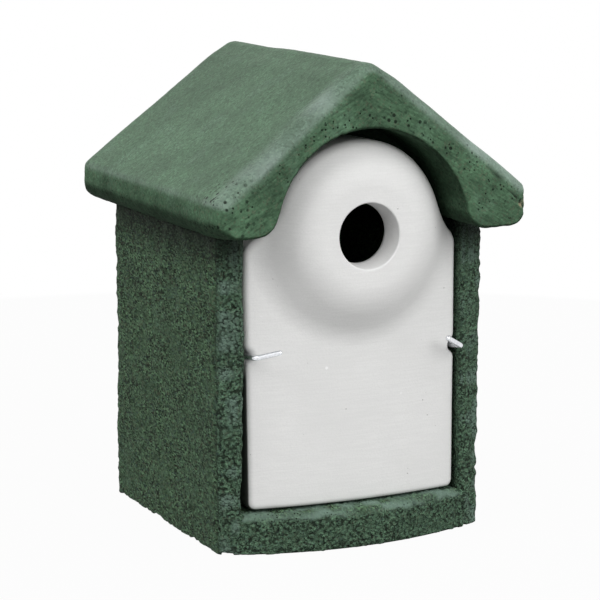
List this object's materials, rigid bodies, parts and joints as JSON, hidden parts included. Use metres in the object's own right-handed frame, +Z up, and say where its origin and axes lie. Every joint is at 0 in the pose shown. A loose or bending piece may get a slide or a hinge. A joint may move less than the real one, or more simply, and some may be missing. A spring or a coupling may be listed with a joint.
{
  "type": "nest box",
  "caption": "Cast wood-fibre concrete bird nest box with gabled roof, arched hood, domed front panel with round entrance, and turning wire hooks that hold the panel.",
  "frame": {"origin": "middle of the base, between the four corners of the body", "axes": "+Z up, the front with the entrance hole faces -Y, +X to the viewer's right"},
  "size_m": [0.1684, 0.1845, 0.2401],
  "materials": {
    "casting": "coarse, granular, pitted",
    "roof": "troweled, finely pitted",
    "panel": "smooth, matt",
    "hook": "zinc plated"
  },
  "bodies": {
    "box": {"floor": "casting", "back_wall": "casting", "left_wall": "casting", "right_wall": "casting", "left_jamb": "casting", "right_jamb": "casting", "front_sill": "casting", "left_roof": "roof", "right_roof": "roof", "left_hood": "roof", "right_hood": "roof", "back_gable": "roof", "front_panel": "panel"},
    "left_hook": {"left_hook": "hook"},
    "right_hook": {"right_hook": "hook"}
  },
  "joints": [
    {"name": "left_hook_turn", "type": "hinge", "parent": "box", "child": "left_hook", "pos_m": [-0.0569, -0.07, 0.0977], "axis": [0, -1, 0], "range_deg": [-45, 150]},
    {"name": "right_hook_turn", "type": "hinge", "parent": "box", "child": "right_hook", "pos_m": [0.0569, -0.07, 0.0942], "axis": [0, 1, 0], "range_deg": [-45, 150]}
  ]
}
